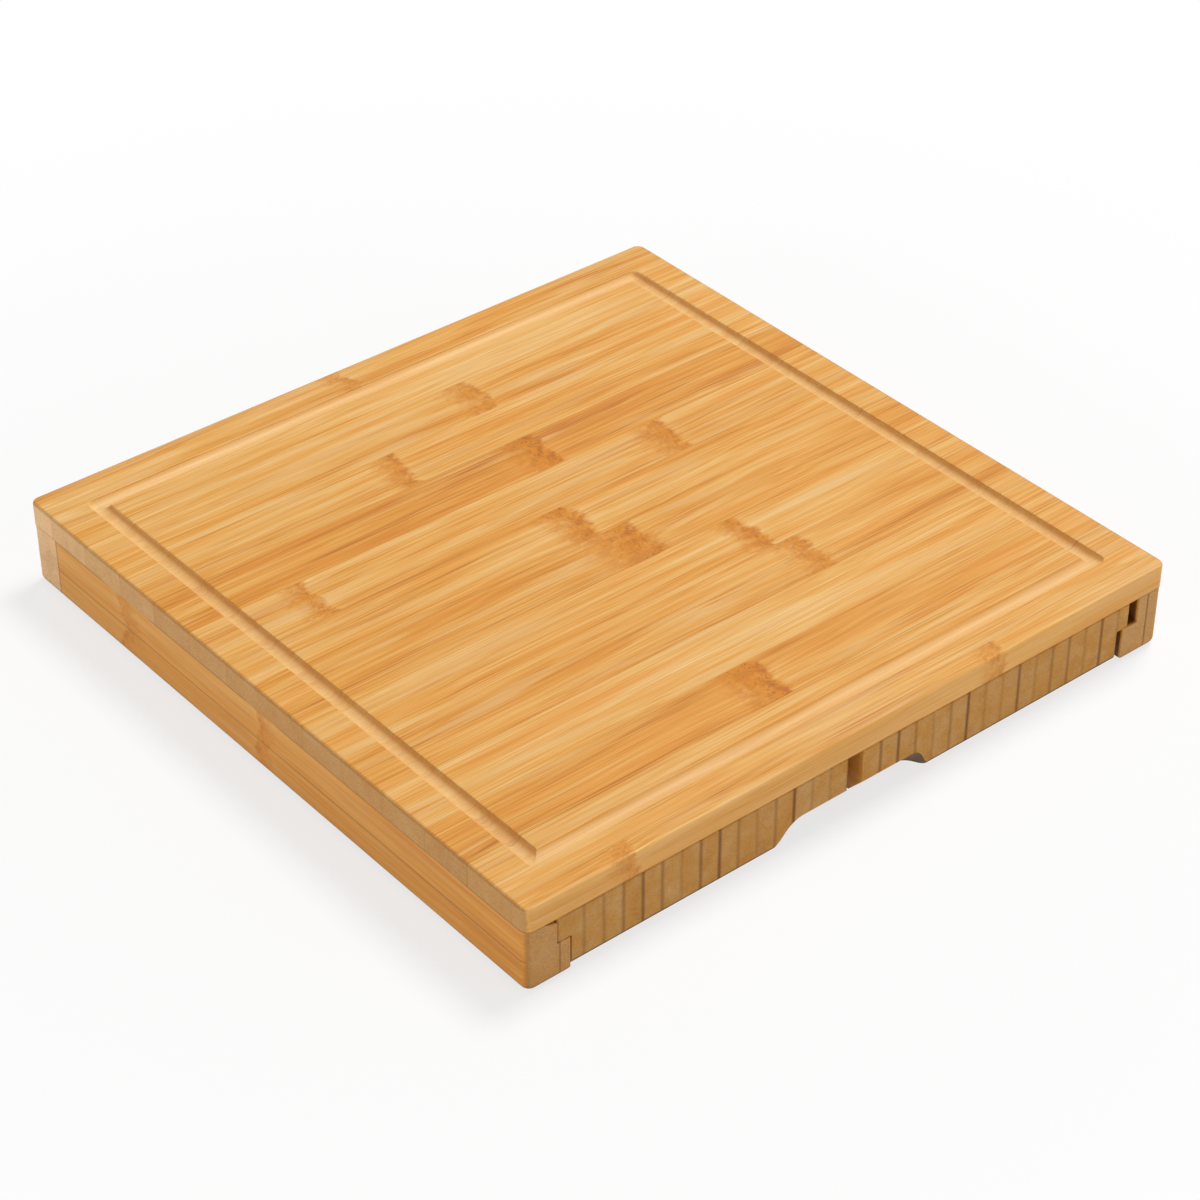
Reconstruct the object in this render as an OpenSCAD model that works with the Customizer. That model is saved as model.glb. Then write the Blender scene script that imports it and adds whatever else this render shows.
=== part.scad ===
// Square cutting board on a low frame, with two tray drawers that hang on ledges and slide out
// at the front. X runs along the front edge, Y towards the back, Z up. The origin is the middle
// of the underside, and every size is in millimetres.

/* [Overall] */
// Width of the board along its front edge
board_w = 330; // [300:1:420]
// Depth of the board, front to back
board_d = 330; // [280:1:420]
// Height of the frame under the board
frame_h = 29; // [25:0.5:40]
// Thickness of the board
board_t = 11; // [9:0.5:20]
// Distance that the frame is set back under the edge of the board
frame_inset = 0.2; // [0:0.1:3]
// Radius of the four upright corners
corner_r = 4; // [1:0.5:6]
// Radius of the edge round the cutting surface
top_edge_r = 1.2; // [0.5:0.1:3]
// Radius of the edge round the underside
bottom_edge_r = 3.5; // [0.5:0.1:4]

/* [Board staves] */
// Width of a whole stave of the board
stave_w = 25.4; // [18:0.2:40]
// Width left of the stave at the back edge
back_stave_w = 17; // [8:0.5:17]

/* [Juice groove] */
// Distance from the edge of the board to the middle of the groove
groove_inset = 20.6; // [14:0.2:30]
// Width of the groove at the cutting surface
groove_w = 8.6; // [5:0.2:12]
// Depth of the groove
groove_depth = 2.6; // [1.5:0.1:4]
// Radius of the groove's rims
groove_rim_r = 0.7; // [0.2:0.1:1.5]

/* [Frame] */
// Thickness of a side rail above its ledge
rail_t = 14; // [8:0.5:20]
// Width of the ledge along the right rail
right_ledge_w = 8; // [5:0.5:12]
// Height of the ledges above the table
ledge_h = 16.8; // [13:0.1:19]
// Width of the bevel under each side rail's ledge
ledge_bevel_w = 4.5; // [1:0.5:4.5]
// Height of the bevel under each side rail's ledge
ledge_bevel_h = 2.2; // [0.5:0.1:4]
// Width of the wedge-shaped gap between the left rail and the board
rail_gap_w = 7; // [1:0.5:7]
// Height of that gap at the inner side of the rail
rail_gap_h = 2.2; // [0.3:0.1:3]
// Thickness of the back rail, front to back
back_rail_t = 18; // [10:0.5:25]
// Thickness of the web between the drawers
web_t = 3; // [2:0.5:8]
// Place of the centre rail, right of the middle of the board
centre_rail_shift = -3.4; // [-8:0.2:8]
// Distance from the front edge to the front end of the centre rail
centre_rail_inset = 18.5; // [16:0.5:30]

/* [Drawers] */
// Gap between a drawer and the underside of the board
top_gap = 1; // [0.3:0.1:2]
// Height of the drawers' undersides above the table
drawer_lift = 2.6; // [1:0.1:4]
// Sideways play of a drawer between its two ledges
drawer_play = 4.3; // [1.5:0.1:5]
// Gap between each drawer and the ledge on the side that it is pushed to
seat_gap = 1; // [0.3:0.1:1.4]
// Width of the lips that rest on the ledges
lip_w = 6.4; // [4:0.1:7]
// Gap between the left drawer's lip and the left rail
lip_gap = 0.6; // [0.3:0.1:2]
// Gap between the right drawer's lip and the web
web_gap = 1.4; // [0.3:0.1:3]
// Distance from the front of the board back to the drawer fronts
front_inset = 0.6; // [0:0.1:3]
// Gap behind a closed drawer
rear_gap = 0.5; // [0.3:0.1:3]
// Thickness of a drawer's front before its inner rebate starts
front_solid = 12.5; // [10:0.5:14]
// Radius of the cutter that mills the inner rebate
cutter_r = 5; // [2:0.5:5]
// Radius of the drawers' upright and upper edges
drawer_edge_r = 0.8; // [0.3:0.1:1.5]
// Radius of the drawers' lower edges
drawer_foot_r = 2.4; // [0.5:0.1:3]

/* [Tray pockets] */
// Thickness of the floor under a pocket
floor_t = 5; // [3:0.1:8]
// Width of the wall between a pocket and the outer edge of a lip
side_wall = 14; // [12:0.5:20]
// Thickness of the front wall
front_wall = 16; // [15:0.5:30]
// Thickness of the back wall
back_wall = 12; // [8:0.5:25]
// Corner radius of a pocket, seen from above
pocket_r = 12; // [8:0.5:20]
// Radius between a pocket's walls and its floor
pocket_floor_r = 6; // [3:0.5:7]
// Radius of a pocket's rim
pocket_rim_r = 1; // [0.3:0.1:2]

/* [Finger scoop] */
// Height of the scoop above the drawers' undersides
scoop_h = 10; // [5:0.1:10.5]
// Width of the scoop along its level top
scoop_top_w = 57; // [40:1:90]
// Length of the slope at the left end of the scoop
scoop_left_slope = 20; // [14:1:30]
// Length of the slope at the right end of the scoop
scoop_right_slope = 12; // [11:1:30]
// Place of the scoop, right of the middle of the board
scoop_shift = -2.6; // [-8:0.1:8]
// Angle at which the scoop runs down to the underside
scoop_angle = 48; // [44:1:52]

/* [Hidden] */
$fn = 48;
// Stroke that cutters run past the material they cut
cut = 1;
// Flat steps along each slope of the finger scoop
slope_steps = 16;
body_h = frame_h + board_t;
half_w = board_w / 2;
half_d = board_d / 2;
front_y = -half_d;

// Staves are counted from the back edge, and what is left over is the front stave.
whole_staves = ceil((board_d - back_stave_w) / stave_w) - 1;
stave_count = whole_staves + 2;

// A round-nosed cutter of this radius leaves a groove of the named width and depth, whose rims
// are then eased. The rim's circle and the cutter's touch at rim_touch, seen from the groove's middle.
groove_r = (groove_w * groove_w / 4 + groove_depth * groove_depth) / (2 * groove_depth) - groove_rim_r;
rim_share = groove_rim_r / (groove_r + groove_rim_r);
rim_touch = [
    groove_w / 2 * (1 - rim_share),
    -groove_rim_r + rim_share * (groove_r - groove_depth + groove_rim_r)
];
groove_run_x = board_w - 2 * groove_inset;
groove_run_y = board_d - 2 * groove_inset;

// The frame's outline lies inside the board's. Its ledges end at these places along X.
frame_half_w = half_w - frame_inset;
frame_half_d = half_d - frame_inset;
left_ledge_w = lip_w + lip_gap - seat_gap;
left_ledge_x = -frame_half_w + rail_t + left_ledge_w;
right_ledge_x = frame_half_w - rail_t - right_ledge_w;
foot_half = web_t / 2 + lip_w + web_gap - seat_gap;
foot_left_x = centre_rail_shift - foot_half;
foot_right_x = centre_rail_shift + foot_half;
back_rail_y = frame_half_d - back_rail_t;

// A drawer is as wide as the bay between its two ledges, less its play, plus a lip on each side.
function drawer_width(bay_w) = bay_w - drawer_play + 2 * lip_w;
left_drawer_w = drawer_width(foot_left_x - left_ledge_x);
right_drawer_w = drawer_width(right_ledge_x - foot_right_x);
left_drawer_x = left_ledge_x + seat_gap - lip_w;
right_drawer_x = foot_right_x + seat_gap - lip_w;
drawer_front_y = front_y + front_inset;
drawer_l = back_rail_y - rear_gap - drawer_front_y;
drawer_h = frame_h - top_gap - drawer_lift;
lip_under = ledge_h - drawer_lift;

pocket_l = drawer_l - front_wall - back_wall;
pocket_depth = drawer_h - floor_t;

function two_digits(n) = n < 10 ? str("0", n) : str(n);
function stave_name(n) = str("board_stave_", two_digits(n));
// Distance from the back edge to the far side of stave n
function stave_edge(n) = n <= 0 ? 0 : n >= stave_count ? board_d : back_stave_w + (n - 1) * stave_w;

// ---- Shared shapes ----

// Rectangle with its lower left corner at the origin and a radius for its lower and upper corners
module eased_rect(w, h, low_r, high_r) {
    translate([low_r, 0]) square([w - 2 * low_r, h / 2]);
    translate([high_r, h / 2]) square([w - 2 * high_r, h / 2]);
    translate([0, low_r]) square([w, h - low_r - high_r]);
    for (x = [low_r, w - low_r]) translate([x, low_r]) circle(low_r);
    for (x = [high_r, w - high_r]) translate([x, h - high_r]) circle(high_r);
}

// Block from the origin, with its edges eased along all three directions and mitred at its corners
module mitred_block(w, d, h, upright_r, low_r, high_r) {
    intersection() {
        linear_extrude(h) eased_rect(w, d, upright_r, upright_r);
        translate([0, d, 0]) rotate([90, 0, 0]) linear_extrude(d) eased_rect(w, h, low_r, high_r);
        rotate([90, 0, 90]) linear_extrude(w) eased_rect(d, h, low_r, high_r);
    }
}

// The same block with its corners turned, as sandpaper leaves them
module turned_block(w, d, h, upright_r, low_r, high_r) {
    run_w = w - 2 * upright_r;
    run_d = d - 2 * upright_r;
    translate([0, d - upright_r, 0]) rotate([90, 0, 0]) linear_extrude(run_d) eased_rect(w, h, low_r, high_r);
    translate([upright_r, 0, 0]) rotate([90, 0, 90]) linear_extrude(run_w) eased_rect(d, h, low_r, high_r);
    translate([w / 2, d / 2, 0]) for (turn = [0:3]) {
        across = (turn % 2 == 0 ? run_w : run_d) / 2;
        along = (turn % 2 == 0 ? run_d : run_w) / 2;
        rotate([0, 0, 90 * turn]) translate([across, along, 0]) rotate_extrude(angle = 90) intersection() {
            translate([-upright_r, 0]) eased_rect(2 * upright_r, h, low_r, high_r);
            square([upright_r, h]);
        }
    }
}

// Only upright edges with the largest radius leave room to turn the corners.
module eased_block(w, d, h, upright_r, low_r, high_r) {
    if (max(low_r, high_r) < upright_r) turned_block(w, d, h, upright_r, low_r, high_r);
    else mitred_block(w, d, h, upright_r, low_r, high_r);
}

// ---- Board and frame ----

// The board and its frame are each sanded to this outline, the frame a little inside the board.
module sanded_outline(inset) {
    translate([inset - half_w, inset - half_d, 0])
        eased_block(board_w - 2 * inset, board_d - 2 * inset, body_h, corner_r, bottom_edge_r, top_edge_r);
}

// One side of the groove's round section, from its middle to its edge, at the cutting surface
module groove_half_section() {
    intersection() {
        translate([0, groove_r - groove_depth]) circle(groove_r);
        translate([0, -groove_depth]) square([groove_w / 2, groove_depth + rim_touch[1]]);
    }
    difference() {
        polygon([[0, cut], [groove_w / 2, cut], [groove_w / 2, -groove_rim_r], rim_touch, [0, rim_touch[1]]]);
        translate([groove_w / 2, -groove_rim_r]) circle(groove_rim_r, $fn = 24);
    }
}

module groove_run(length) {
    rotate([90, 0, 0]) linear_extrude(length, center = true) {
        groove_half_section();
        mirror([1, 0]) groove_half_section();
    }
}

// The round end that the cutter leaves where it turns a corner
module groove_turn() {
    rotate_extrude(angle = 90) groove_half_section();
}

module juice_groove() {
    translate([0, 0, body_h]) {
        for (side = [-1, 1]) {
            translate([side * groove_run_x / 2, 0, 0]) groove_run(groove_run_y);
            translate([0, side * groove_run_y / 2, 0]) rotate([0, 0, 90]) groove_run(groove_run_x);
        }
        for (turn = [0:3]) {
            swap = turn % 2;
            across = (swap == 0 ? groove_run_x : groove_run_y) / 2;
            along = (swap == 0 ? groove_run_y : groove_run_x) / 2;
            rotate([0, 0, 90 * turn]) translate([across, along, 0]) groove_turn();
        }
    }
}

module board_stave(n) {
    y_high = half_d - stave_edge(n - 1);
    y_low = half_d - stave_edge(n);
    color("burlywood") difference() {
        intersection() {
            sanded_outline(0);
            translate([-half_w, y_low, frame_h]) cube([board_w, y_high - y_low, board_t]);
        }
        juice_groove();
    }
}

// Section of a side rail, from its outer face: a wall, and a ledge whose foot is bevelled
module rail_section(ledge_w) {
    ledge_end = rail_t + ledge_w;
    polygon([
        [0, 0], [ledge_end - ledge_bevel_w, 0], [ledge_end, ledge_bevel_h], [ledge_end, ledge_h],
        [rail_t, ledge_h], [rail_t, frame_h], [0, frame_h]
    ]);
}

// Wedge that the left rail's top falls short of the board
module rail_gap_section() {
    polygon([
        [rail_t - rail_gap_w, frame_h], [rail_t, frame_h - rail_gap_h],
        [rail_t + cut, frame_h - rail_gap_h], [rail_t + cut, frame_h + cut], [rail_t - rail_gap_w, frame_h + cut]
    ]);
}

// Whatever its children draw in section, run along the left side and sanded to the frame's outline
module along_left_side() {
    intersection() {
        sanded_outline(frame_inset);
        translate([-frame_half_w, back_rail_y, 0])
            rotate([90, 0, 0]) linear_extrude(back_rail_y + frame_half_d) children();
    }
}

module left_rail() {
    color("peru") along_left_side() difference() {
        rail_section(left_ledge_w);
        rail_gap_section();
    }
}

module right_rail() {
    color("peru") mirror([1, 0, 0]) along_left_side() rail_section(right_ledge_w);
}

module back_rail() {
    color("peru") intersection() {
        sanded_outline(frame_inset);
        translate([-half_w, back_rail_y, 0]) cube([board_w, back_rail_t, frame_h]);
    }
}

// Upside-down T between the drawers: a web under the board and a foot with a ledge on each side
module centre_rail() {
    rail_front = front_y + centre_rail_inset;
    rail_l = back_rail_y - rail_front;
    color("peru") translate([centre_rail_shift, rail_front, 0]) {
        translate([-web_t / 2, 0, 0]) cube([web_t, rail_l, frame_h]);
        translate([-foot_half, 0, 0]) cube([2 * foot_half, rail_l, ledge_h]);
    }
}

// ---- Drawers ----
// A drawer is drawn with its left front corner at the origin, standing on its underside.

// Space under the lip on the left side of a drawer, from the distance start to its back end
module rebate(start) {
    translate([-cut, start, -cut]) cube([lip_w + cut, drawer_l - start + cut, lip_under + cut]);
}

// The same space as a round cutter leaves it, where it stops short of the drawer's front
module stopped_rebate() {
    rebate(front_solid + cutter_r);
    translate([-cut, front_solid, -cut]) cube([lip_w + cut - cutter_r, 2 * cutter_r, lip_under + cut]);
    translate([lip_w - cutter_r, front_solid + cutter_r, -cut]) cylinder(r = cutter_r, h = lip_under + cut);
}

// Half of a pocket's section, out to reach, with the radius between wall and floor and the eased rim
module pocket_section(reach) {
    translate([0, pocket_floor_r]) square([reach, pocket_depth - pocket_floor_r + cut]);
    square([reach - pocket_floor_r, pocket_depth]);
    translate([reach - pocket_floor_r, pocket_floor_r]) circle(pocket_floor_r);
    translate([reach, pocket_depth - pocket_rim_r]) difference() {
        square([pocket_rim_r, pocket_rim_r + cut]);
        translate([pocket_rim_r, 0]) circle(pocket_rim_r, $fn = 24);
    }
}

// Straight side of a pocket: a strip as deep as the corner radius, along X, at the pocket's edge
module pocket_side(length) {
    rotate([90, 0, 90]) linear_extrude(length, center = true) pocket_section(pocket_r);
}

// Tray pocket, centred on the origin, with its floor at height 0
module tray_pocket(pocket_w) {
    inner_w = pocket_w - 2 * pocket_r;
    inner_l = pocket_l - 2 * pocket_r;
    translate([-inner_w / 2, -inner_l / 2, 0]) cube([inner_w, inner_l, pocket_depth + cut]);
    for (turn = [0, 180]) rotate([0, 0, turn]) {
        translate([0, inner_l / 2, 0]) pocket_side(inner_w);
        translate([inner_w / 2, 0, 0]) rotate([0, 0, -90]) pocket_side(inner_l);
        translate([inner_w / 2, inner_l / 2, 0]) rotate_extrude(angle = 90) pocket_section(pocket_r);
        translate([inner_w / 2, -inner_l / 2, 0]) rotate([0, 0, -90])
            rotate_extrude(angle = 90) pocket_section(pocket_r);
    }
}

// Height of a scoop's slope at the distance x from its top: two equal arcs, one each way
function slope_height(x, length, height) =
    let (arc_r = (length * length + height * height) / (4 * height))
    x < length / 2
        ? height - arc_r + sqrt(arc_r * arc_r - x * x)
        : arc_r - sqrt(arc_r * arc_r - (length - x) * (length - x));

// Points down a slope, which starts at start and runs to the side that way gives
function slope_points(start, way, length, height) =
    [for (n = [0:slope_steps]) let (x = length * n / slope_steps)
        [start + way * x, slope_height(x, length, height)]];

// Finger scoop shared by both drawers, in the board's own place. It runs down and back from the
// drawer fronts, so that its front outline is true to size and its depth follows from the angle.
module finger_scoop() {
    height = scoop_h * cos(scoop_angle);
    top_half = scoop_top_w / 2;
    right_slope = slope_points(top_half, 1, scoop_right_slope, height);
    left_slope = slope_points(-top_half, -1, scoop_left_slope, height);
    bottom = [[-top_half - scoop_left_slope, -cut], [top_half + scoop_right_slope, -cut]];
    run_back = [for (n = [slope_steps:-1:0]) right_slope[n]];
    translate([scoop_shift, drawer_front_y, drawer_lift])
        rotate([-90 - scoop_angle, 0, 0]) mirror([0, 1, 0])
            linear_extrude(6 * scoop_h, center = true) polygon(concat(bottom, run_back, left_slope));
}

// Slab with its edges eased, a lip along each side and a tray pocket in its top
module drawer_blank(drawer_w) {
    difference() {
        eased_block(drawer_w, drawer_l, drawer_h, drawer_edge_r, drawer_foot_r, drawer_edge_r);
        rebate(-cut);
        translate([drawer_w, 0, 0]) mirror([1, 0, 0]) stopped_rebate();
        translate([drawer_w / 2, front_wall + pocket_l / 2, floor_t]) tray_pocket(drawer_w - 2 * side_wall);
    }
}

module left_drawer() {
    color("tan") difference() {
        translate([left_drawer_x, drawer_front_y, drawer_lift])
            drawer_blank(left_drawer_w);
        finger_scoop();
    }
}

module right_drawer() {
    color("tan") difference() {
        translate([right_drawer_x + right_drawer_w, drawer_front_y, drawer_lift])
            mirror([1, 0, 0]) drawer_blank(right_drawer_w);
        finger_scoop();
    }
}

for (n = [1:stave_count]) {
    board_stave(n);
}
left_rail();
right_rail();
back_rail();
centre_rail();
left_drawer();
right_drawer();
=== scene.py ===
import math

import bpy
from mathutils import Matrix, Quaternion, Vector


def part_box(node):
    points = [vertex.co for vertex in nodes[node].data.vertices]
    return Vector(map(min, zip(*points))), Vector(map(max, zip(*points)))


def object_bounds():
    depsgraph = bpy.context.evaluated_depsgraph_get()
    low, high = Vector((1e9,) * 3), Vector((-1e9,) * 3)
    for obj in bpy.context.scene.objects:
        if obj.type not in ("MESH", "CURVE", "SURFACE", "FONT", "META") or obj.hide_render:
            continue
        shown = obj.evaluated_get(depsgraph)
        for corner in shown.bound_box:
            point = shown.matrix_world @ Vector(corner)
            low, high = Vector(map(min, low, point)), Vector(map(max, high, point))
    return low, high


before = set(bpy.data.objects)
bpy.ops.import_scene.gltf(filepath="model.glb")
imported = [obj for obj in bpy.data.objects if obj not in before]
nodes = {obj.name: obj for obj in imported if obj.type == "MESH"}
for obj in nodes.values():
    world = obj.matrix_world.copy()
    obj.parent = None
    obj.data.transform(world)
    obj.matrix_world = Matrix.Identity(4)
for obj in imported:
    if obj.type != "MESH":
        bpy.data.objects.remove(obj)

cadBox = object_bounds()
mmPerMetre = 1000.0  # the materials measure in millimetres
boardHalf = cadBox[1][0] * mmPerMetre
boardTop = cadBox[1][2] * mmPerMetre

print("camera")
cameraSetup = {
    "place": (-0.6849, -0.83456, 0.80159),
    "looksAlong": (0.51275, 0.62011, -0.59378),
    "lens": 97.083,
    "sensor": 36.0,
    "roll": 0.037,  # degrees
    "nearest": 0.01,
    "farthest": 50.0,
}


def addCamera(setup):
    data = bpy.data.cameras.new("camera")
    data.lens = setup["lens"]
    data.sensor_width = setup["sensor"]
    data.clip_start = setup["nearest"]
    data.clip_end = setup["farthest"]
    camera = bpy.data.objects.new("camera", data)
    bpy.context.scene.collection.objects.link(camera)
    camera.location = setup["place"]
    turn = Vector(setup["looksAlong"]).to_track_quat("-Z", "Y")
    roll = Quaternion((0.0, 0.0, 1.0), math.radians(setup["roll"]))
    camera.rotation_mode = "QUATERNION"
    camera.rotation_quaternion = turn @ roll
    bpy.context.scene.camera = camera


addCamera(cameraSetup)
bpy.context.scene.view_settings.view_transform = "Standard"


# A value fed to a node is a number, a colour or another node's output
def feed(tree, socket, value):
    if isinstance(value, bpy.types.NodeSocket):
        tree.links.new(value, socket)
    else:
        socket.default_value = value


def place(tree, kind, feeds=None, **settings):
    node = tree.nodes.new("ShaderNode" + kind)
    for name, value in settings.items():
        setattr(node, name, value)
    for key, value in (feeds or {}).items():
        feed(tree, node.inputs[key], value)
    return node


def calc(tree, operation, *values, clamp=False):
    node = place(tree, "Math", operation=operation, use_clamp=clamp)
    for socket, value in zip(node.inputs, values):
        feed(tree, socket, value)
    return node.outputs[0]


def product(tree, first, *others):
    for other in others:
        first = calc(tree, "MULTIPLY", first, other)
    return first


def strongest(tree, values):
    best = values[0]
    for value in values[1:]:
        best = calc(tree, "MAXIMUM", best, value)
    return best


def centred(tree, value, gain):
    return calc(tree, "MULTIPLY", calc(tree, "SUBTRACT", value, 0.5), gain)


def vectorCalc(tree, operation, *values):
    node = place(tree, "VectorMath", operation=operation)
    for socket, value in zip(node.inputs, values):
        feed(tree, socket, value)
    return node.outputs[0]


def scaleVector(tree, vector, amount):
    return place(tree, "VectorMath", {0: vector, "Scale": amount}, operation="SCALE").outputs[0]


def split(tree, vector):
    return place(tree, "SeparateXYZ", {0: vector}).outputs


# 0 at low and 1 at high, with soft ends; low may be the larger
def fadeBetween(tree, value, low, high):
    node = place(tree, "MapRange", {"Value": value, "From Min": low, "From Max": high},
                 interpolation_type="SMOOTHSTEP")
    return node.outputs[0]


def fadeBand(tree, value, rise, fall):
    return product(tree, fadeBetween(tree, value, *rise), fadeBetween(tree, value, *fall))


def mixColour(tree, factor, first, second):
    node = place(tree, "Mix", data_type="RGBA")
    for index, value in ((0, factor), (6, first), (7, second)):  # the sockets of a colour mix
        feed(tree, node.inputs[index], value)
    return node.outputs[2]


def perSize(size):
    return tuple(1.0 / length for length in size)


# size gives a lump's length along the grain, across it and through it, in mm
def noise(tree, position, size, detail=2.0, output="Fac"):
    scaled = vectorCalc(tree, "MULTIPLY", position, perSize(size))
    made = place(tree, "TexNoise", {"Vector": scaled, "Scale": 1.0, "Detail": detail})
    return made.outputs[output]


def newGroup(name, inputs, outputs):
    tree = bpy.data.node_groups.new(name, "ShaderNodeTree")
    for label, kind, value in inputs:
        socket = tree.interface.new_socket(
            name=label, in_out="INPUT", socket_type="NodeSocket" + kind)
        socket.default_value = value
    for label, kind in outputs:
        tree.interface.new_socket(
            name=label, in_out="OUTPUT", socket_type="NodeSocket" + kind)
    entry = tree.nodes.new("NodeGroupInput")
    leave = tree.nodes.new("NodeGroupOutput")
    return tree, entry.outputs, leave.inputs


def useGroup(tree, group, feeds):
    node = tree.nodes.new("ShaderNodeGroup")
    node.node_tree = group
    for key, value in feeds.items():
        feed(tree, node.inputs[key], value)
    return node.outputs


# A colour in screen values, 0 to 255, as the linear one that a node takes
def screenColour(red, green, blue):
    def linear(level):
        level = level / 255.0
        return level / 12.92 if level <= 0.04045 else ((level + 0.055) / 1.055) ** 2.4
    return (linear(red), linear(green), linear(blue), 1.0)


print("node groups")
fibreSetup = {  # lengths along the grain, across it and through it, in mm
    "fibre": (60, 0.5, 0.5),
    "strand": (45, 1.0, 1.0),
    "bands": (120, 2.4, 2.4),
    "drift": (170, 7.5, 7.5),
    "bundles": (40, 0.75, 0.75),
    "bundleEdge": (0.42, 0.16),
    "sway": (75, 11, 11),
    "swayBy": 3.0,
    "warmStreaks": (70, 1.3, 1.3),
    "warmStreaksBy": 1.4,
    "warmDrift": (90, 8.0, 8.0),
    "warmDriftBy": 1.9,
    "warmStep": (500.0, 91.0, 37.0),
    "seedStep": (211.3, 37.7, 83.1),
}


# Streaks of the pressed fibres, at four widths, and the drift of their colour
def makeFibres(setup):
    tree, given, out = newGroup(
        "bambooFibres",
        [("Grain", "Vector", (0, 0, 0)), ("Seed", "Float", 0.0)],
        [("Fine", "Float"), ("Bands", "Float"), ("Drift", "Float"), ("Bundles", "Float"),
         ("Warmth", "Float")])
    apart = scaleVector(tree, setup["seedStep"], given["Seed"])
    grain = vectorCalc(tree, "ADD", given["Grain"], apart)
    sway = centred(tree, noise(tree, grain, setup["sway"], 1.0), setup["swayBy"])
    sideways = place(tree, "CombineXYZ", {1: sway, 2: sway}).outputs[0]
    swayed = vectorCalc(tree, "ADD", grain, sideways)
    fibre = noise(tree, swayed, setup["fibre"], 1.0)
    strand = noise(tree, swayed, setup["strand"], 1.0)
    fine = calc(tree, "MULTIPLY_ADD", fibre, 0.5, product(tree, strand, 0.5))
    feed(tree, out["Fine"], fine)
    feed(tree, out["Bands"], noise(tree, swayed, setup["bands"]))
    feed(tree, out["Drift"], noise(tree, swayed, setup["drift"]))
    cells = vectorCalc(tree, "MULTIPLY", swayed, perSize(setup["bundles"]))
    spots = place(tree, "TexVoronoi", {"Vector": cells, "Scale": 1.0}, voronoi_dimensions="3D")
    bundles = fadeBetween(tree, spots.outputs["Distance"], *setup["bundleEdge"])
    feed(tree, out["Bundles"], bundles)
    far = vectorCalc(tree, "ADD", swayed, setup["warmStep"])
    streaks = centred(tree, noise(tree, far, setup["warmStreaks"], 1.0), setup["warmStreaksBy"])
    drift = centred(tree, noise(tree, far, setup["warmDrift"]), setup["warmDriftBy"])
    feed(tree, out["Warmth"], calc(tree, "ADD", streaks, drift))
    return tree


knuckleSetup = {  # sizes in mm; edges in spreads from the mark's middle, along the grain
    "body": ((-2.9, -0.1), (1.9, 0.8)),  # soft on the left, sharp on the right
    "rim": ((0.2, 1.0), (1.7, 1.1)),
    "crinkleBand": ((-1.2, 0.6), (1.7, 1.0)),
    "halo": (3.6, 1.2),
    "stirred": (2.2, 0.2),
    "wander": (60, 10, 10),
    "wanderBy": 11.0,
    "ragged": (4, 1.8, 1.8),
    "raggedBy": 6.5,
    "clouds": (6.0, 4.0, 4.0),
    "cloudEdge": (0.34, 0.62),
    "cloudShare": 0.4,
    "rightShare": 0.4,
    "leastStain": 0.42,
    "bodyDepth": 0.45,
    "patches": (5.0, 4.0, 4.0),
    "patchEdge": (0.4, 0.62),
    "crinkles": (1.0, 3.0, 3.0),
    "crinkleEdge": (0.52, 0.68),
    "bend": (7, 7, 7),
    "bendBy": 9.0,
    "churn": (3.3, 3.3, 3.3),
    "churnBy": (30.0, 5.0, 5.0),
    "seedStep": (57.1, 19.3, 41.9),
}


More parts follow.
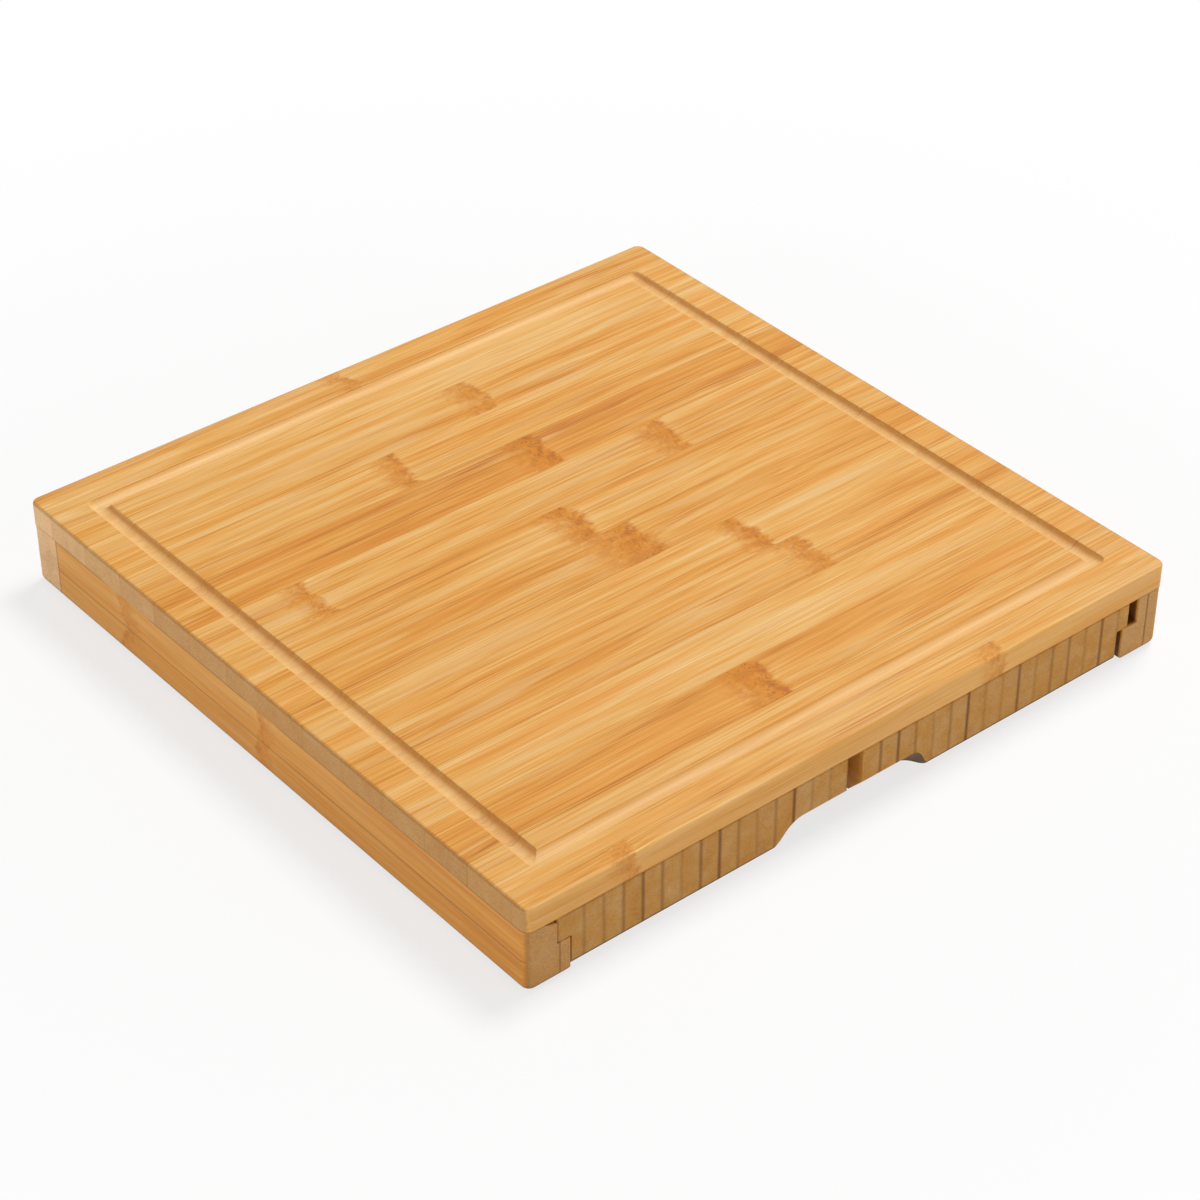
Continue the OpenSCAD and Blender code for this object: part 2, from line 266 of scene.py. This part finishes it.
# The mark that a knuckle of the cane leaves across a stave
def makeKnuckle(setup):
    tree, given, out = newGroup(
        "bambooKnuckle",
        [("Grain", "Vector", (0, 0, 0)), ("Centre", "Float", 0.0), ("Spread", "Float", 5.0),
         ("Strength", "Float", 1.0), ("Seed", "Float", 0.0)],
        [("Stain", "Float"), ("Deep", "Float"), ("Flecks", "Float"), ("Halo", "Float"),
         ("Stir", "Vector")])
    strength = given["Strength"]
    apart = scaleVector(tree, setup["seedStep"], given["Seed"])
    local = vectorCalc(tree, "ADD", given["Grain"], apart)
    wander = centred(tree, noise(tree, local, setup["wander"], 1.0), setup["wanderBy"])
    ragged = centred(tree, noise(tree, local, setup["ragged"]), setup["raggedBy"])
    away = calc(tree, "SUBTRACT", split(tree, given["Grain"])[0], given["Centre"])
    away = calc(tree, "ADD", calc(tree, "ADD", away, wander), ragged)
    away = calc(tree, "DIVIDE", away, given["Spread"])
    distance = calc(tree, "ABSOLUTE", away)
    body = fadeBand(tree, away, *setup["body"])
    clouds = fadeBetween(tree, noise(tree, local, setup["clouds"]), *setup["cloudEdge"])
    weight = calc(tree, "MULTIPLY_ADD", clouds, setup["cloudShare"], setup["leastStain"])
    rightward = fadeBetween(tree, away, -1.0, 1.0)
    weight = calc(tree, "MULTIPLY_ADD", rightward, setup["rightShare"], weight)
    feed(tree, out["Stain"], product(tree, body, weight, strength))
    rim = fadeBand(tree, away, *setup["rim"])
    patches = fadeBetween(tree, noise(tree, local, setup["patches"]), *setup["patchEdge"])
    deep = calc(tree, "MAXIMUM", rim, product(tree, body, setup["bodyDepth"]))
    feed(tree, out["Deep"], product(tree, deep, patches, strength))
    bend = scaleVector(tree, noise(tree, local, setup["bend"], 1.0, "Color"), setup["bendBy"])
    bent = vectorCalc(tree, "ADD", local, bend)
    crinkles = fadeBetween(tree, noise(tree, bent, setup["crinkles"], 1.0), *setup["crinkleEdge"])
    nearRim = fadeBand(tree, away, *setup["crinkleBand"])
    feed(tree, out["Flecks"], product(tree, crinkles, nearRim, strength))
    around = fadeBetween(tree, distance, *setup["halo"])
    halo = calc(tree, "SUBTRACT", around, body, clamp=True)
    feed(tree, out["Halo"], product(tree, halo, strength))
    churn = noise(tree, local, setup["churn"], 1.0, "Color")
    churn = vectorCalc(tree, "SUBTRACT", churn, (0.5, 0.5, 0.5))
    stir = vectorCalc(tree, "MULTIPLY", churn, setup["churnBy"])
    near = fadeBetween(tree, distance, *setup["stirred"])
    feed(tree, out["Stir"], scaleVector(tree, stir, near))
    return tree


stripSetup = {
    "lean": 1.6,  # how much a strip's tone may change across it
    "faintestJoint": 0.2,
    "seedStep": 13.7,
    "slideAlong": 900.0,  # mm, so that each strip is cut from another cane
    "slideThrough": 23.0,
}


# Strips glued side by side: a tone for each, and the dark line of each joint
def makeStrips(setup):
    tree, given, out = newGroup(
        "gluedStrips",
        [("Across", "Float", 0.0), ("Start", "Float", 0.0), ("Width", "Float", 9.5),
         ("Line", "Float", 0.4), ("Seed", "Float", 0.0)],
        [("Tone", "Float"), ("Warmth", "Float"), ("Joint", "Float"), ("Slide", "Vector")])
    fromStart = calc(tree, "SUBTRACT", given["Across"], given["Start"])
    steps = calc(tree, "DIVIDE", fromStart, given["Width"])
    index = calc(tree, "MAXIMUM", calc(tree, "FLOOR", steps), -1.0)  # the first may be wider
    key = calc(tree, "ADD", index, product(tree, given["Seed"], setup["seedStep"]))
    chance = place(tree, "TexWhiteNoise", {"W": key}, noise_dimensions="1D")
    parts = place(tree, "SeparateColor", {0: chance.outputs["Color"]}).outputs
    across = calc(tree, "SUBTRACT", calc(tree, "FRACT", steps), 0.5)
    lean = product(tree, across, centred(tree, parts[0], setup["lean"]))
    feed(tree, out["Tone"], calc(tree, "ADD", chance.outputs["Value"], lean))
    feed(tree, out["Warmth"], parts[1])
    slide = place(tree, "CombineXYZ", {0: product(tree, parts[2], setup["slideAlong"]),
                                       2: product(tree, key, setup["slideThrough"])})
    feed(tree, out["Slide"], slide.outputs[0])
    nearest = calc(tree, "ROUND", steps)
    toLine = calc(tree, "ABSOLUTE", calc(tree, "SUBTRACT", steps, nearest))
    toLine = product(tree, toLine, given["Width"])
    edge = fadeBetween(tree, toLine, given["Line"], 0.0)
    edge = product(tree, edge, calc(tree, "GREATER_THAN", steps, -0.5))
    which = calc(tree, "ADD", nearest, given["Seed"])
    depth = place(tree, "TexWhiteNoise", {"W": which}, noise_dimensions="1D").outputs[0]
    faintest = setup["faintestJoint"]
    depth = calc(tree, "MULTIPLY_ADD", depth, 1.0 - faintest, faintest)
    feed(tree, out["Joint"], product(tree, edge, depth))
    return tree


toneSetup = {
    "fine": 2.3,
    "bands": 0.55,
    "drift": 1.7,
    "bundles": 0.2,
    "orangeShare": 0.9,
    "strawShare": -1.1,
    "orange": (226, 146, 52),
    "straw": (228, 182, 122),
    "spread": (0.6, 0.2),  # how a tone is laid on the stops below
    "stops": [
        (0.0, (242, 202, 139)),
        (0.2, (236, 187, 113)),
        (0.35, (231, 175, 93)),
        (0.5, (225, 162, 73)),
        (0.65, (217, 148, 53)),
        (0.8, (205, 130, 36)),
        (1.0, (182, 105, 20)),
    ],
}


# From pale straw to orange brown; warmth turns it towards grey straw or orange
def makeTone(setup):
    tree, given, out = newGroup(
        "bambooTone",
        [("Tone", "Float", 0.5), ("Turn", "Float", 0.0), ("Fine", "Float", 0.5),
         ("Bands", "Float", 0.5), ("Drift", "Float", 0.5), ("Bundles", "Float", 0.0),
         ("Warmth", "Float", 0.0), ("Contrast", "Float", 1.0)],
        [("Color", "Color")])
    total = centred(tree, given["Fine"], setup["fine"])
    for output, share in (("Bands", setup["bands"]), ("Drift", setup["drift"])):
        total = calc(tree, "ADD", centred(tree, given[output], share), total)
    total = calc(tree, "MULTIPLY_ADD", given["Bundles"], setup["bundles"], total)
    total = calc(tree, "MULTIPLY_ADD", total, given["Contrast"], given["Tone"])
    curve = place(tree, "ValToRGB", {0: calc(tree, "MULTIPLY_ADD", total, *setup["spread"])})
    stops = curve.color_ramp.elements
    while len(stops) < len(setup["stops"]):
        stops.new(0.5)
    for stop, (position, shade) in zip(stops, setup["stops"]):
        stop.position = position
        stop.color = screenColour(*shade)
    warm = calc(tree, "MULTIPLY_ADD", given["Warmth"], given["Contrast"], given["Turn"])
    toOrange = calc(tree, "MULTIPLY", warm, setup["orangeShare"], clamp=True)
    shade = mixColour(tree, toOrange, curve.outputs[0], screenColour(*setup["orange"]))
    toStraw = calc(tree, "MULTIPLY", warm, setup["strawShare"], clamp=True)
    shade = mixColour(tree, toStraw, shade, screenColour(*setup["straw"]))
    feed(tree, out["Color"], shade)
    return tree


# Painted shade on surfaces that slope down, such as rounded bottom edges and the finger scoop, but not
# the flat underside
def makeShadeDownFacing():
    tree, given, out = newGroup(
        "shadeDownFacing", [("Normal", "Vector", (0, 0, 1))], [("Mask", "Float")])
    upward = split(tree, given["Normal"])[2]
    feed(tree, out["Mask"], fadeBand(tree, upward, (0.02, -0.3), (-0.995, -0.93)))
    return tree


zoneSetup = {  # mm in from the board's top or side
    "grooveBelow": (0.05, 1.6),
    "grooveInside": (8.0, 10.0),
    "arrisBelow": (1.5, 0.5),
    "arrisInside": (1.6, 0.6),
}


# The juice groove's cut surface, and the darker arris where the staves end
def makeBoardZones(setup):
    tree, given, out = newGroup(
        "boardZones", [("Place", "Vector", (0, 0, 0))], [("Groove", "Float"), ("Arris", "Float")])
    away = split(tree, vectorCalc(tree, "ABSOLUTE", given["Place"]))
    outward = calc(tree, "MAXIMUM", away[0], away[1])

    def within(value, edge, margins):
        return fadeBetween(tree, value, *[edge - margin for margin in margins])

    groove = product(tree, within(away[2], boardTop, setup["grooveBelow"]),
                     within(outward, boardHalf, setup["grooveInside"]))
    feed(tree, out["Groove"], groove)
    arris = product(tree, within(away[2], boardTop, setup["arrisBelow"]),
                    within(away[0], boardHalf, setup["arrisInside"]))
    feed(tree, out["Arris"], arris)
    return tree


fibres = makeFibres(fibreSetup)
knuckle = makeKnuckle(knuckleSetup)
strips = makeStrips(stripSetup)
bambooTone = makeTone(toneSetup)
shadeDownFacing = makeShadeDownFacing()
boardZones = makeBoardZones(zoneSetup)

print("materials")
shades = {name: screenColour(*levels) for name, levels in {
    "stain": (212, 131, 0),
    "deepStain": (178, 94, 0),
    "fleck": (146, 78, 0),
    "pore": (120, 74, 36),
    "glue": (108, 58, 6),
    "grooveStraw": (243, 204, 142),
    # painted shade for the groove walls that face left
    "grooveWallShade": (190, 116, 30),
    "arris": (160, 106, 56),
    "greyStraw": (186, 150, 104),
    # painted shade for the surfaces that face down
    "downFacingShade": (62, 38, 2),
    # painted shade for the drawer bays and the centre rail
    "bay": (78, 40, 10),
    # painted contact shade along the bottom edges
    "foot": (84, 54, 20),
}.items()}

finish = {
    "coats": [("Stain", 1.0, "stain"), ("Deep", 0.75, "deepStain"), ("Flecks", 0.5, "fleck")],
    "haloLift": 0.14,
    "markSeed": 5.3,
    "layerSeed": 3.1,
    "jointAlongGrain": 0.45,
    "calmer": 0.45,  # less contrast on the faces that look along y
    "blotches": (9, 9, 9),
    "blotchEdge": (0.42, 0.66),
    "blotchShare": 0.35,
    "grooveShare": 0.45,
    "wallShadeShare": 0.65,
    "arrisShare": 0.4,
    "seamPatches": (35, 35, 35),
    "seamEdge": (0.3, 0.5),
    "bayShare": 0.85,
    "footShadeShare": 0.85,
    "footHeight": (1.8, 0.5),
    "cornerWidth": (3.0, 1.2),
    "roughness": 0.45,
    "fibreRoughness": 0.14,
    "endRoughness": 0.14,
    "poreDepth": -0.6,
    "jointDepth": -0.8,
    "bump": 0.35,
    "bumpDistance": 0.00006,
    "ior": 1.42,
}


# Places in mm, as they are and turned to run along the grain, and masks of the way that a face looks
def readSurface(tree, grainAxis):
    coords = place(tree, "TexCoord").outputs
    turned = (0.0, 0.0, 0.0 if grainAxis == "x" else math.radians(-90.0))
    spot = vectorCalc(tree, "MULTIPLY", coords["Object"], (mmPerMetre, mmPerMetre, mmPerMetre))
    straight = place(tree, "Mapping", {"Vector": spot, "Rotation": turned}).outputs[0]
    normal = place(tree, "Mapping", {"Vector": coords["Normal"], "Rotation": turned}).outputs[0]
    along, across, upward = split(tree, normal)
    return {
        "spot": spot,
        "straight": straight,
        "axes": dict(zip("xyz", split(tree, spot))),
        "normal": coords["Normal"],
        "end": fadeBetween(tree, calc(tree, "ABSOLUTE", along), 0.55, 0.85),
        "edgeOn": fadeBetween(tree, calc(tree, "ABSOLUTE", across), 0.5, 0.9),
        "offFlat": fadeBetween(tree, upward, -0.98, -0.75),  # 0 on a flat underside
    }


# layers: (axis, start, width, half width of a joint, spread of tone), in mm
def layStrips(tree, face, layers, seed):
    laid = []
    for count, (axis, start, width, line, spread) in enumerate(layers):
        strip = useGroup(tree, strips, {
            "Across": face["axes"][axis], "Start": start, "Width": width, "Line": line,
            "Seed": seed + count * finish["layerSeed"]})
        if axis == "z":  # a stacked strip's line doesn't show on the ends
            share = calc(tree, "SUBTRACT", 1.0, face["end"])
        else:  # a joint is finer along the grain than across its ends
            least = finish["jointAlongGrain"]
            share = calc(tree, "MULTIPLY_ADD", face["end"], 1.0 - least, least)
        laid.append({
            "tone": centred(tree, strip["Tone"], spread),
            "warmth": centred(tree, strip["Warmth"], spread),
            "slide": strip["Slide"],
            "joint": product(tree, strip["Joint"], share),
        })
    return laid


# marks: (place along the grain, spread, strength), in mm
def markKnuckles(tree, face, marks, seed):
    return [useGroup(tree, knuckle, {
        "Grain": face["straight"], "Centre": centre, "Spread": spread, "Strength": strength,
        "Seed": seed + count * finish["markSeed"],
    }) for count, (centre, spread, strength) in enumerate(marks)]


# seams: (axis, place, half width, strength) of a dark joint, in mm
def markSeams(tree, face, seams):
    patchy = fadeBetween(tree, noise(tree, face["spot"], finish["seamPatches"], 1.0),
                         *finish["seamEdge"])
    near = []
    for axis, at, width, strength in seams:
        away = calc(tree, "ABSOLUTE", calc(tree, "SUBTRACT", face["axes"][axis], at))
        near.append(product(tree, fadeBetween(tree, away, width, 0.0), patchy,
                            face["offFlat"], strength))
    return near


def paint(tree, shade, mask, share, colour):
    return mixColour(tree, product(tree, mask, share), shade, colour)


# Cut across, the strips show their end grain: blotched, with the pores of the cane
def paintEnds(tree, face, shade, end, bundles, endShade, endMix, pores):
    lumps = noise(tree, face["straight"], finish["blotches"])
    blotch = fadeBetween(tree, lumps, *finish["blotchEdge"])
    cut = paint(tree, endShade, blotch, finish["blotchShare"], shades["greyStraw"])
    cut = mixColour(tree, endMix, shade, cut)
    cut = paint(tree, cut, bundles, pores, shades["pore"])
    return mixColour(tree, end, shade, cut)


def paintBoardZones(tree, face, shade, zone):
    shade = paint(tree, shade, zone["Groove"], finish["grooveShare"], shades["grooveStraw"])
    # painted shade on the groove walls that face left, away from the key light
    leftward = split(tree, face["normal"])[0]
    shadedWall = product(tree, fadeBetween(tree, leftward, -0.3, -0.8), zone["Groove"])
    shade = paint(tree, shade, shadedWall, finish["wallShadeShare"], shades["grooveWallShade"])
    return paint(tree, shade, zone["Arris"], finish["arrisShare"], shades["arris"])


# Painted shade on the surfaces beside a drawer: inside of x, and behind y
def paintBayShade(tree, face, shade, inner, front):
    inside = fadeBetween(tree, calc(tree, "ABSOLUTE", face["axes"]["x"]), inner + 0.6, inner)
    behind = fadeBetween(tree, face["axes"]["y"], front, front + 1.2)
    mask = product(tree, inside, behind, face["offFlat"])
    return paint(tree, shade, mask, finish["bayShare"], shades["bay"])


def paintCorners(tree, face, shade, share):
    margins = [boardHalf - margin for margin in finish["cornerWidth"]]
    mask = product(tree, *[fadeBetween(tree, calc(tree, "ABSOLUTE", face["axes"][axis]), *margins)
                           for axis in "xy"])
    return paint(tree, shade, mask, share, shades["arris"])


# Painted contact shade along the lowest edges of every face but the flat underside
def paintFootShade(tree, face, shade, foot):
    heights = [foot + height for height in finish["footHeight"]]
    low = product(tree, fadeBetween(tree, face["axes"]["z"], *heights), face["offFlat"])
    return paint(tree, shade, low, finish["footShadeShare"], shades["foot"])


# endMix, lineShare, corners and the share of painted shade on faces that look down say how much of a
# darker shade covers the bamboo;
# the painted shade of the bays starts at their inner x and front y, foot is the height of the lowest
# edge and of the painted contact shade above it, lengthwise a change of tone along y
def bambooMaterial(name, grainAxis="x", seed=0.0, tone=0.5, turn=0.0, contrast=1.0, marks=(),
                   layers=(), lineShare=0.6, endShade=shades["glue"], endMix=0.8, pores=0.4,
                   zones=False, seams=(), downShadeShare=0.0, bay=None, foot=None, lengthwise=0.0,
                   corners=0.0):
    material = bpy.data.materials.new(name)
    material.use_nodes = True
    tree = material.node_tree
    tree.nodes.clear()
    face = readSurface(tree, grainAxis)
    end = face["end"]
    level = tone
    warmth = turn
    inGrain = face["straight"]
    if lengthwise != 0.0:
        level = calc(tree, "MULTIPLY_ADD", face["axes"]["y"], -lengthwise / 100.0, tone)
    laid = layStrips(tree, face, layers, seed)
    for strip in laid:
        level = calc(tree, "ADD", strip["tone"], level)
        warmth = calc(tree, "ADD", strip["warmth"], warmth)
        inGrain = vectorCalc(tree, "ADD", inGrain, strip["slide"])
    knuckles = markKnuckles(tree, face, marks, seed)
    for made in knuckles:
        level = calc(tree, "MULTIPLY_ADD", made["Halo"], -finish["haloLift"], level)
        inGrain = vectorCalc(tree, "ADD", inGrain, made["Stir"])
    grain = useGroup(tree, fibres, {"Grain": inGrain, "Seed": seed})
    lively = calc(tree, "MULTIPLY_ADD", face["edgeOn"], -finish["calmer"] * contrast, contrast)
    shade = useGroup(tree, bambooTone, {
        "Tone": level, "Turn": warmth, "Fine": grain["Fine"], "Bands": grain["Bands"],
        "Drift": grain["Drift"], "Bundles": grain["Bundles"], "Warmth": grain["Warmth"],
        "Contrast": lively})["Color"]
    for output, share, coat in finish["coats"]:
        if knuckles:
            mask = strongest(tree, [made[output] for made in knuckles])
            shade = paint(tree, shade, mask, share, shades[coat])
    if zones:
        zone = useGroup(tree, boardZones, {"Place": face["spot"]})
        end = product(tree, end, calc(tree, "SUBTRACT", 1.0, zone["Groove"]))
    shade = paintEnds(tree, face, shade, end, grain["Bundles"], endShade, endMix, pores)
    if zones:
        shade = paintBoardZones(tree, face, shade, zone)
    joints = [strip["joint"] for strip in laid] + markSeams(tree, face, seams)
    dark = strongest(tree, joints)
    shade = paint(tree, shade, dark, lineShare, shades["glue"])
    if bay is not None:
        shade = paintBayShade(tree, face, shade, *bay)
    if corners > 0.0:
        shade = paintCorners(tree, face, shade, corners)
    if foot is not None:
        shade = paintFootShade(tree, face, shade, foot)
    # painted shade on the surfaces that face down, such as rounded bottom edges and the finger scoop
    if downShadeShare > 0.0:
        facingDown = useGroup(tree, shadeDownFacing, {"Normal": face["normal"]})["Mask"]
        shade = paint(tree, shade, facingDown, downShadeShare, shades["downFacingShade"])
    rough = calc(tree, "MULTIPLY_ADD", grain["Fine"], finish["fibreRoughness"], finish["roughness"])
    rough = calc(tree, "MULTIPLY_ADD", end, finish["endRoughness"], rough)
    height = calc(tree, "MULTIPLY_ADD", grain["Bundles"], finish["poreDepth"], grain["Fine"])
    height = calc(tree, "MULTIPLY_ADD", dark, finish["jointDepth"], height)
    bump = place(tree, "Bump", {"Strength": finish["bump"], "Distance": finish["bumpDistance"],
                                "Height": height})
    surface = place(tree, "BsdfPrincipled", {"Base Color": shade, "Roughness": rough,
                                             "Normal": bump.outputs[0], "IOR": finish["ior"]})
    out = place(tree, "OutputMaterial")
    tree.links.new(surface.outputs[0], out.inputs["Surface"])
    return material


def dress(node, material):
    for slot in nodes[node].material_slots:
        slot.material = material


def lowest(node, axis):
    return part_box(node)[0][axis] * mmPerMetre


def highest(node, axis):
    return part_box(node)[1][axis] * mmPerMetre


boardSetup = {
    # a row for each stave from the back: tone, turn towards orange, front joint, knuckles
    "staves": [
        (0.46, -0.10, 0.4, [(-13, 3.5, 0.5)]),
        (0.28, 0.0, 0.4, []),
        (0.42, 0.0, 0.3, [(22, 4.5, 0.6)]),
        (0.40, 0.05, 0.6, [(-35.5, 4, 0.65)]),
        (0.68, 0.15, 0.4, [(16.5, 5.5, 1.0)]),
        (0.46, 0.0, 0.4, [(-118, 4, 0.6), (67, 5, 0.75)]),
        (0.52, 0.0, 0.4, [(-4, 5, 0.85)]),
        (0.60, 0.10, 0.5, [(4, 8.5, 0.85)]),
        (0.40, 0.05, 0.3, [(47.5, 4, 0.8)]),
        (0.56, 0.05, 0.4, [(56.7, 4.5, 0.65)]),
        (0.30, 0.05, 0.4, []),
        (0.64, 0.10, 0.9, [(-16.7, 6.5, 1.0)]),
        (0.42, -0.05, 0.3, []),
        (0.52, -0.10, 0.0, [(-120, 4, 0.5), (67, 4, 0.5)]),
    ],
    "seedStep": 1.7,
    "endAtBack": (240, 200, 152),
    "endAtFront": (182, 135, 78),
    "endFade": 0.7,  # from one stave to the next
    "endMix": 0.75,
    "pores": 0.3,
    "frontJoint": 0.6,  # half widths, mm
    "underJoint": 0.7,
    "underStrength": 0.8,
}


def dressBoard(setup):
    for count, (tone, turn, joint, marks) in enumerate(setup["staves"], 1):
        node = f"board_stave_{count:02d}"
        share = setup["endFade"] ** (count - 1)
        ends = [front + (back - front) * share
                for back, front in zip(setup["endAtBack"], setup["endAtFront"])]
        dress(node, bambooMaterial(
            f"boardBamboo{count:02d}", "x", seed=count * setup["seedStep"], tone=tone, turn=turn,
            marks=marks, endShade=screenColour(*ends), endMix=setup["endMix"],
            pores=setup["pores"], zones=True,
            seams=[("y", lowest(node, 1), setup["frontJoint"], joint),
                   ("z", lowest(node, 2), setup["underJoint"], setup["underStrength"])]))


frameSetup = {
    "end": (188, 140, 80),
    "backEnd": (236, 194, 148),
    "inner": 150.9,  # mm from the middle to a side rail's inner face
    "front": -164.4,  # mm, where the painted shade of the bays begins
    "stacked": ("z", 0.0, 14.4, 0.6, 0.05),  # a rail is two strips high
    "centreStrips": ("x", 0.0, 9.75, 0.4, 0.2),
    "leftSeam": ("x", -149.6, 0.8, 0.8),
    "rightSeam": ("x", 156.2, 0.9, 1.0),
    # share of painted shade on the surfaces that face down
    "downShading": 0.25,
    "corners": 0.6,
}


def dressFrame(setup):
    ends = screenColour(*setup["end"])
    backEnds = screenColour(*setup["backEnd"])
    bay = (setup["inner"], setup["front"])
    stacked = setup["stacked"]
    underBoard = ("z", highest("left_rail", 2), 0.9, 0.9)
    backJoint = ("y", highest("left_rail", 1), 0.7, 0.9)
    dress("left_rail", bambooMaterial(
        "leftRailBamboo", "y", seed=31.0, tone=0.74, contrast=0.75,
        marks=[(93, 4, 0.5), (-1, 3, 0.5)], layers=[stacked], lineShare=0.7, endShade=ends,
        downShadeShare=setup["downShading"], bay=bay, seams=[underBoard, backJoint, setup["leftSeam"]],
        foot=0.0, lengthwise=0.06, corners=setup["corners"]))
    dress("right_rail", bambooMaterial(
        "rightRailBamboo", "y", seed=37.0, tone=0.55, contrast=0.75, marks=[(40, 4, 0.4)],
        layers=[stacked], lineShare=0.7, endShade=ends, downShadeShare=setup["downShading"], bay=bay,
        seams=[underBoard, backJoint, setup["rightSeam"]], foot=0.0, corners=setup["corners"]))
    dress("back_rail", bambooMaterial(
        "backRailBamboo", "x", seed=41.0, tone=0.5, marks=[(-60, 4, 0.5), (95, 4, 0.5)],
        layers=[stacked], lineShare=0.6, endShade=backEnds, downShadeShare=setup["downShading"],
        seams=[backJoint], foot=0.0))
    dress("centre_rail", bambooMaterial(
        "centreRailBamboo", "y", seed=43.0, tone=0.6, layers=[setup["centreStrips"]],
        endShade=ends, bay=bay, foot=0.0))


drawerSetup = {
    "tone": 0.56,
    "end": (175, 124, 50),
    "endMix": 0.7,
    "pores": 0.2,
    "line": 1.5,  # mm, half the width of a glue line
    "lineShare": 0.95,
    "toneSpread": 0.24,
    # share of painted shade on the surfaces that face down
    "downShading": 0.9,
    "left": {"seed": 51.0, "start": -138.1, "width": 9.254},
    "right": {"seed": 57.0, "start": 8.2, "width": 9.37},
}


def dressDrawers(setup):
    for side in ("left", "right"):
        node = side + "_drawer"
        strip = setup[side]
        dress(node, bambooMaterial(
            side + "DrawerBamboo", "y", seed=strip["seed"], tone=setup["tone"],
            layers=[("x", strip["start"], strip["width"], setup["line"], setup["toneSpread"])],
            lineShare=setup["lineShare"], endShade=screenColour(*setup["end"]),
            endMix=setup["endMix"], pores=setup["pores"], downShadeShare=setup["downShading"],
            foot=lowest(node, 2)))


dressBoard(boardSetup)
dressFrame(frameSetup)
dressDrawers(drawerSetup)

print("floor and light")
white = (1.0, 1.0, 1.0, 1.0)
floorSetup = {
    "radius": 6.0,
    "corners": 96,
    "below": 0.0003,  # m under the board's feet
    "shade": (0.93, 0.93, 0.93, 1.0),
    "shadowShare": 0.27,  # how much of the shading on the floor is seen
    "fadeFrom": 0.24,
    "fadeTo": 0.55,
}


# 1 where the camera, a gloss or a clear surface looks straight at this
def directView(tree):
    rays = place(tree, "LightPath").outputs
    seen = calc(tree, "ADD", rays["Is Camera Ray"], rays["Is Glossy Ray"], clamp=True)
    return calc(tree, "ADD", seen, rays["Is Transmission Ray"], clamp=True)


def floorMaterial(setup):
    material = bpy.data.materials.new("floorPaper")
    material.use_nodes = True
    tree = material.node_tree
    tree.nodes.clear()
    paper = place(tree, "BsdfDiffuse", {"Color": setup["shade"]}).outputs[0]
    glow = place(tree, "Emission", {"Color": white, "Strength": 1.0}).outputs[0]
    spot = place(tree, "TexCoord").outputs["Object"]
    far = place(tree, "VectorMath", {0: spot}, operation="LENGTH").outputs["Value"]
    fade = fadeBetween(tree, far, setup["fadeFrom"], setup["fadeTo"])
    share = setup["shadowShare"]
    glowing = calc(tree, "MULTIPLY_ADD", fade, share, 1.0 - share)
    glowing = product(tree, glowing, directView(tree))
    blend = place(tree, "MixShader", {0: glowing, 1: paper, 2: glow}).outputs[0]
    below = place(tree, "NewGeometry").outputs["Backfacing"]
    clear = place(tree, "BsdfTransparent").outputs[0]  # so that the underside can be looked at
    oneSided = place(tree, "MixShader", {0: below, 1: blend, 2: clear}).outputs[0]
    out = place(tree, "OutputMaterial")
    tree.links.new(oneSided, out.inputs["Surface"])
    return material


def addFloor(setup):
    mesh = bpy.data.meshes.new("floor")
    angles = [2 * math.pi * step / setup["corners"] for step in range(setup["corners"])]
    rim = [(setup["radius"] * math.cos(angle), setup["radius"] * math.sin(angle), 0.0)
           for angle in angles]
    mesh.from_pydata(rim, [], [list(range(setup["corners"]))])
    mesh.materials.append(floorMaterial(setup))
    floor = bpy.data.objects.new("floor", mesh)
    bpy.context.scene.collection.objects.link(floor)
    floor.location.z = -setup["below"]


skySetup = {"strength": 0.27}


def addSky(setup):
    world = bpy.data.worlds.new("sky")
    bpy.context.scene.world = world
    world.use_nodes = True
    tree = world.node_tree
    tree.nodes.clear()
    lighting = place(tree, "Background", {"Color": white, "Strength": setup["strength"]})
    backdrop = place(tree, "Background", {"Color": white, "Strength": 1.0})
    blend = place(tree, "MixShader", {0: directView(tree), 1: lighting.outputs[0],
                                      2: backdrop.outputs[0]})
    out = place(tree, "OutputWorld")
    tree.links.new(blend.outputs[0], out.inputs["Surface"])


lampSetup = {
    "aim": (0.0, 0.0, 0.02),
    "lamps": {
        "key": {"place": (2.0, 0.3, 4.0), "width": 1.8, "power": 139.0, "gloss": True},
        "frontFill": {"place": (1.9, -2.6, 0.8), "width": 2.0, "power": 24.5, "gloss": False},
        "leftFill": {"place": (-3.6, -0.4, 0.7), "width": 2.0, "power": 42.0, "gloss": False},
    },
}


def addLamps(setup):
    for name, row in setup["lamps"].items():
        data = bpy.data.lights.new(name, "AREA")
        data.shape = "DISK"
        data.size = row["width"]
        data.energy = row["power"]
        lamp = bpy.data.objects.new(name, data)
        bpy.context.scene.collection.objects.link(lamp)
        lamp.location = row["place"]
        lamp.visible_glossy = row["gloss"]  # a low fill would glare off the board
        aim = Vector(setup["aim"]) - lamp.location
        lamp.rotation_mode = "QUATERNION"
        lamp.rotation_quaternion = aim.to_track_quat("-Z", "Y")


addFloor(floorSetup)
addSky(skySetup)
addLamps(lampSetup)
